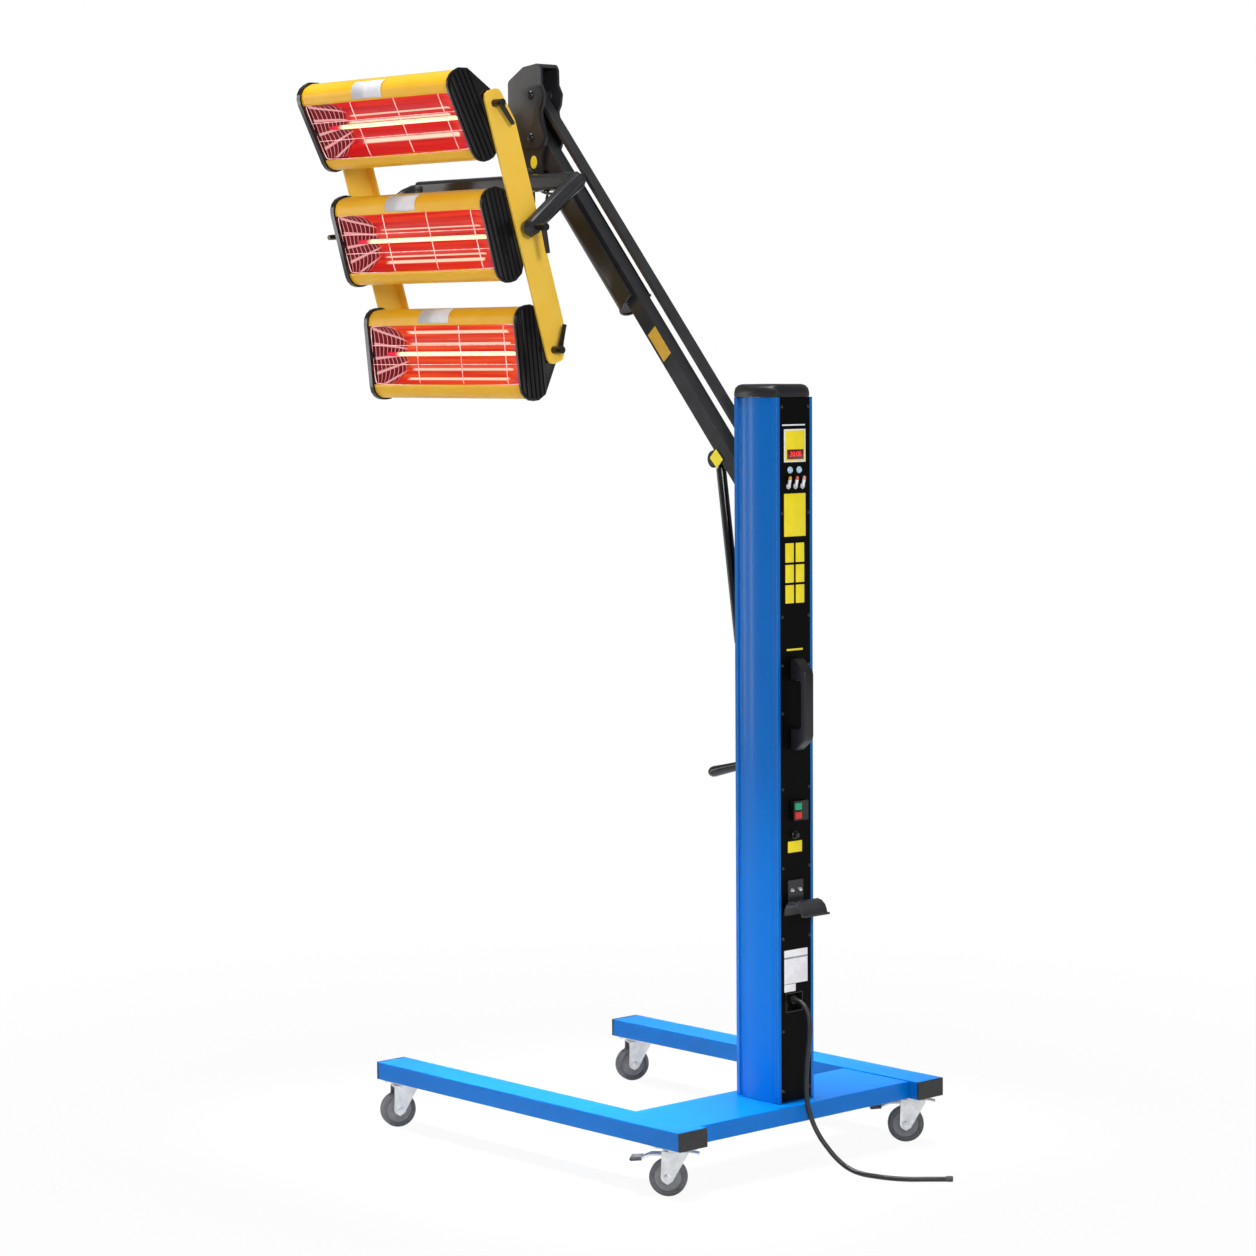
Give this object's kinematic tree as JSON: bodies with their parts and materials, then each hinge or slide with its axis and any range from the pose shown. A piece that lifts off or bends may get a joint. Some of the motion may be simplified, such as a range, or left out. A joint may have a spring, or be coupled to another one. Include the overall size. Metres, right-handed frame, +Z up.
{
  "type": "infrared paint curing lamp",
  "caption": "Wheeled stand with a parallel lifting arm carrying a tilting bank of yellow infrared heater cassettes for drying paint.",
  "frame": {"origin": "centre of the bounding box at floor level, the free mains cord left out", "axes": "+Z up; +Y towards the control panel; -Y towards the legs and lamps; +X the side the lamps hang on"},
  "size_m": [0.8354, 1.5651, 2.4046],
  "materials": {
    "blue_paint": "gloss",
    "black_paint": "satin",
    "black_plastic": "satin",
    "yellow_paint": "gloss",
    "zinc": "bright",
    "tyre_rubber": "matte",
    "cable_rubber": "satin",
    "heater": "polished",
    "wire": "polished",
    "green_key": "gloss",
    "red_key": "gloss"
  },
  "bodies": {
    "stand": {"leg_right": "blue_paint", "leg_cap_front_right": "black_plastic", "leg_cap_rear_right": "black_plastic", "leg_left": "blue_paint", "leg_cap_front_left": "black_plastic", "leg_cap_rear_left": "black_plastic", "cross_plate": "blue_paint", "caster_plate_front_right": "zinc", "caster_plate_front_left": "zinc", "caster_plate_rear_right": "zinc", "caster_plate_rear_left": "zinc", "column": "blue_paint", "column_panel": "black_plastic", "column_cap": "black_plastic", "switch_housing": "black_plastic", "grab_handle": "black_plastic", "cable_hook": "black_paint", "cable_gland": "black_plastic", "mains_cord": "cable_rubber", "arm_hanger": "black_paint"},
    "fork_front_right": {"caster_fork_front_right": "zinc"},
    "wheel_front_right": {"caster_wheel_front_right": "tyre_rubber"},
    "fork_front_left": {"caster_fork_front_left": "zinc"},
    "wheel_front_left": {"caster_wheel_front_left": "tyre_rubber"},
    "fork_rear_right": {"caster_fork_rear_right": "zinc"},
    "wheel_rear_right": {"caster_wheel_rear_right": "tyre_rubber"},
    "fork_rear_left": {"caster_fork_rear_left": "zinc"},
    "wheel_rear_left": {"caster_wheel_rear_left": "tyre_rubber"},
    "brake_rear_right": {"caster_brake_rear_right": "zinc"},
    "brake_rear_left": {"caster_brake_rear_left": "zinc"},
    "start_key": {"start_button": "green_key"},
    "stop_key": {"stop_button": "red_key"},
    "lock": {"lock_lever": "black_plastic"},
    "lower_arm": {"lower_beam": "black_paint", "beam_cover": "black_plastic"},
    "upper_arm": {"upper_link": "black_paint"},
    "head": {"arm_head": "black_paint"},
    "gas_tube": {"gas_cylinder": "black_paint"},
    "gas_piston": {"gas_rod": "zinc"},
    "array_fork": {"lamp_fork": "black_paint"},
    "array_frame": {"near_bar": "yellow_paint", "far_bar": "yellow_paint"},
    "cassette_top": {"lamp_top_housing": "yellow_paint", "lamp_top_near_cap": "black_paint", "lamp_top_far_cap": "black_paint", "lamp_top_element": "heater", "lamp_top_grille": "wire"},
    "cassette_middle": {"lamp_middle_housing": "yellow_paint", "lamp_middle_near_cap": "black_paint", "lamp_middle_far_cap": "black_paint", "lamp_middle_element": "heater", "lamp_middle_grille": "wire"},
    "cassette_bottom": {"lamp_bottom_housing": "yellow_paint", "lamp_bottom_near_cap": "black_paint", "lamp_bottom_far_cap": "black_paint", "lamp_bottom_element": "heater", "lamp_bottom_grille": "wire"},
    "tilt_clamp": {"tilt_lever": "black_plastic"},
    "top_clamp": {"top_lever": "black_plastic"},
    "bottom_clamp": {"bottom_lever": "black_plastic"}
  },
  "joints": [
    {"name": "swivel_front_right", "type": "hinge", "parent": "stand", "child": "fork_front_right", "pos_m": [0.34241, -0.31088, 0.04], "axis": [0, 0, 1], "continuous": true},
    {"name": "roll_front_right", "type": "hinge", "parent": "fork_front_right", "child": "wheel_front_right", "pos_m": [0.35909, -0.31762, 0.04], "axis": [0.3746, 0.9272, 0], "continuous": true},
    {"name": "swivel_front_left", "type": "hinge", "parent": "stand", "child": "fork_front_left", "pos_m": [-0.37759, -0.31088, 0.04], "axis": [0, 0, 1], "continuous": true},
    {"name": "roll_front_left", "type": "hinge", "parent": "fork_front_left", "child": "wheel_front_left", "pos_m": [-0.36091, -0.31762, 0.04], "axis": [0.3746, 0.9272, 0], "continuous": true},
    {"name": "swivel_rear_right", "type": "hinge", "parent": "stand", "child": "fork_rear_right", "pos_m": [0.34241, 0.59412, 0.04], "axis": [0, 0, 1], "continuous": true},
    {"name": "roll_rear_right", "type": "hinge", "parent": "fork_rear_right", "child": "wheel_rear_right", "pos_m": [0.35398, 0.58033, 0.04], "axis": [0.766, 0.6428, 0], "continuous": true},
    {"name": "brake_rear_right", "type": "hinge", "parent": "fork_rear_right", "child": "brake_rear_right", "pos_m": [0.36683, 0.56501, 0.088], "axis": [0.766, 0.6428, 0], "range_deg": [-1, 9]},
    {"name": "swivel_rear_left", "type": "hinge", "parent": "stand", "child": "fork_rear_left", "pos_m": [-0.37759, 0.59412, 0.04], "axis": [0, 0, 1], "continuous": true},
    {"name": "roll_rear_left", "type": "hinge", "parent": "fork_rear_left", "child": "wheel_rear_left", "pos_m": [-0.36465, 0.58162, 0.04], "axis": [0.6947, 0.7193, 0], "continuous": true},
    {"name": "brake_rear_left", "type": "hinge", "parent": "fork_rear_left", "child": "brake_rear_left", "pos_m": [-0.35026, 0.56773, 0.088], "axis": [0.6947, 0.7193, 0], "range_deg": [-1, 9]},
    {"name": "start_press", "type": "slide", "parent": "stand", "child": "start_key", "axis": [0, -1, 0], "range_m": [0, 0.002], "stiffness_N_per_m": 500},
    {"name": "stop_press", "type": "slide", "parent": "stand", "child": "stop_key", "axis": [0, -1, 0], "range_m": [0, 0.002], "stiffness_N_per_m": 500},
    {"name": "lock_turn", "type": "hinge", "parent": "stand", "child": "lock", "pos_m": [0.00241, 0.49112, 0.872], "axis": [1, 0, 0], "range_deg": [-10, 10]},
    {"name": "arm_lift", "type": "hinge", "parent": "stand", "child": "lower_arm", "pos_m": [-0.01759, 0.49712, 1.4064], "axis": [1, 0, 0], "range_deg": [-12, 60]},
    {"name": "upper_follow", "type": "hinge", "parent": "stand", "child": "upper_arm", "pos_m": [-0.01759, 0.49712, 1.5018], "axis": [1, 0, 0], "range_deg": [-12, 60]},
    {"name": "head_level", "type": "hinge", "parent": "lower_arm", "child": "head", "pos_m": [-0.01759, -0.2269, 2.2393], "axis": [1, 0, 0], "range_deg": [-60, 12]},
    {"name": "gas_swing", "type": "hinge", "parent": "lower_arm", "child": "gas_tube", "pos_m": [-0.01759, 0.35714, 1.52003], "axis": [1, 0, 0], "range_deg": [-54, 11]},
    {"name": "gas_stroke", "type": "slide", "parent": "gas_tube", "child": "gas_piston", "axis": [0, 0.1454, -0.9894], "range_m": [-0.17, 0.035]},
    {"name": "fork_turn", "type": "hinge", "parent": "head", "child": "array_fork", "pos_m": [0.04741, -0.2429, 2.148], "axis": [1, 0, 0], "range_deg": [-90, 45]},
    {"name": "array_tilt", "type": "hinge", "parent": "array_fork", "child": "array_frame", "pos_m": [0.18241, -0.06488, 2.0268], "axis": [0, 1, 0], "range_deg": [-35, 30]},
    {"name": "tilt_top", "type": "hinge", "parent": "array_frame", "child": "cassette_top", "pos_m": [0.26568, -0.06488, 2.2958], "axis": [0, 1, 0], "range_deg": [-20, 20]},
    {"name": "tilt_middle", "type": "hinge", "parent": "array_frame", "child": "cassette_middle", "pos_m": [0.18241, -0.06488, 2.0268], "axis": [0, 1, 0], "range_deg": [-20, 20]},
    {"name": "tilt_bottom", "type": "hinge", "parent": "array_frame", "child": "cassette_bottom", "pos_m": [0.09913, -0.06488, 1.75779], "axis": [0, 1, 0], "range_deg": [-20, 20]},
    {"name": "turn_top_clamp", "type": "hinge", "parent": "array_frame", "child": "top_clamp", "pos_m": [0.26568, -0.04288, 2.2958], "axis": [0, 1, 0], "range_deg": [-30, 30]},
    {"name": "turn_bottom_clamp", "type": "hinge", "parent": "array_frame", "child": "bottom_clamp", "pos_m": [0.09913, -0.04288, 1.75779], "axis": [0, 1, 0], "range_deg": [-30, 30]},
    {"name": "turn_tilt_clamp", "type": "hinge", "parent": "array_fork", "child": "tilt_clamp", "pos_m": [0.18241, -0.00288, 2.0268], "axis": [0, 1, 0], "range_deg": [-30, 30]}
  ],
  "couplings": [
    {"joint": "upper_follow", "follows": "arm_lift", "ratio": 1},
    {"joint": "head_level", "follows": "arm_lift", "ratio": -1},
    {"joint": "gas_swing", "follows": "arm_lift", "ratio": -0.9},
    {"joint": "gas_stroke", "follows": "arm_lift", "m_per_rad": -0.16}
  ]
}
